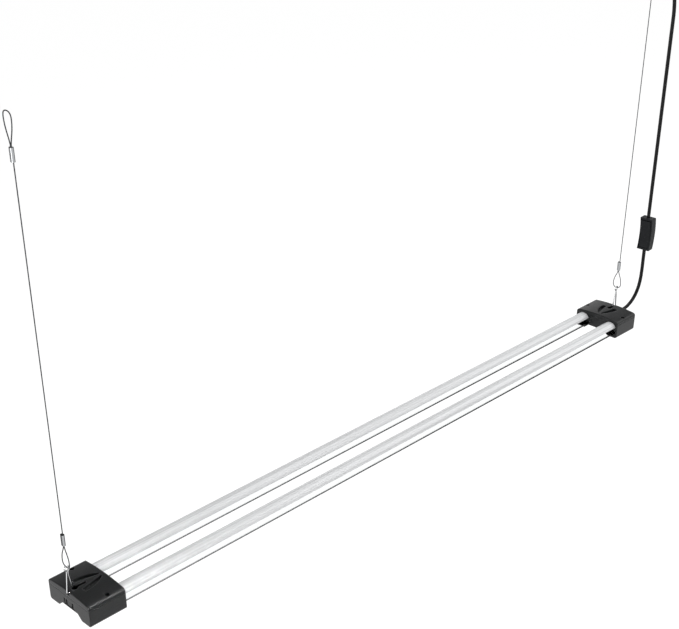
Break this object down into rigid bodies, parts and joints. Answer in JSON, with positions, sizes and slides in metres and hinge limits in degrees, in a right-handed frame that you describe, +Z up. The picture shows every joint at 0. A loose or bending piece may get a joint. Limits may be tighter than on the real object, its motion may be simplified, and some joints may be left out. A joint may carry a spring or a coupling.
{
  "type": "hanging led grow light bar",
  "caption": "Long hanging grow light: clear-lensed LED tubes between black end caps, hung on looped steel cables by wire bails, with a corded rocker switch and a tied coil of spare cord.",
  "frame": {"origin": "midway between the two ceiling hooks, at the height where the cables' top loops bear on them", "axes": "+X along the tubes towards the cord end, +Y across the tubes, +Z up along the cables"},
  "size_m": [1.3119, 0.0894, 0.6843],
  "materials": {
    "cap_plastic": "fine moulded texture",
    "aluminium": "satin extruded",
    "clear_lens": "clear",
    "board_white": "white solder mask",
    "led_yellow": "phosphor",
    "steel_screw": "zinc plated",
    "lead_white": "insulated wire",
    "outlet_plastic": "moulded",
    "contact_brass": "plated",
    "driver_green": "laminate",
    "driver_parts": "wrapped",
    "cord_black": "satin jacket",
    "tie_black": "hook and loop strap",
    "plug_black": "moulded",
    "switch_black": "moulded",
    "rocker_black": "moulded",
    "bail_chrome": "plated wire",
    "cable_steel": "stranded",
    "ferrule_alu": "crimped"
  },
  "bodies": {
    "suspension": {"near_bail": "bail_chrome", "far_bail": "bail_chrome", "near_cable": "cable_steel", "far_cable": "cable_steel", "near_low_loop": "cable_steel", "far_low_loop": "cable_steel", "near_top_loop": "cable_steel", "far_top_loop": "cable_steel", "cable_ferrules": "ferrule_alu", "cord_lower": "cord_black", "cord_upper": "cord_black", "cord_coil": "cord_black", "coil_tie": "tie_black", "plug_body": "plug_black", "plug_blades": "contact_brass", "switch_back": "switch_black", "switch_front": "switch_black", "switch_contacts": "contact_brass"},
    "fixture": {"near_cap_cover": "cap_plastic", "near_cap_housing": "cap_plastic", "far_cap_cover": "cap_plastic", "far_cap_housing": "cap_plastic", "cap_screws": "steel_screw", "left_heat_sink": "aluminium", "right_heat_sink": "aluminium", "left_lens": "clear_lens", "right_lens": "clear_lens", "left_led_board": "board_white", "right_led_board": "board_white", "left_led_chips": "led_yellow", "right_led_chips": "led_yellow", "lens_end_plugs": "cap_plastic", "mains_leads": "lead_white", "link_outlet": "outlet_plastic", "outlet_contacts": "contact_brass", "driver_board": "driver_green", "driver_transformer": "driver_parts", "driver_capacitor": "driver_parts", "driver_choke": "driver_parts", "cord_strain_relief": "cord_black"},
    "rocker": {"switch_rocker": "rocker_black"}
  },
  "joints": [
    {"name": "fixture_rock", "type": "hinge", "parent": "suspension", "child": "fixture", "pos_m": [0, 0, -0.622], "axis": [1, 0, 0], "range_deg": [-15, 15]},
    {"name": "switch_rock", "type": "hinge", "parent": "suspension", "child": "rocker", "pos_m": [0.6887, 0.00008, -0.4991], "axis": [-0.0698, 0.9976, 0], "range_deg": [0, 6]}
  ]
}
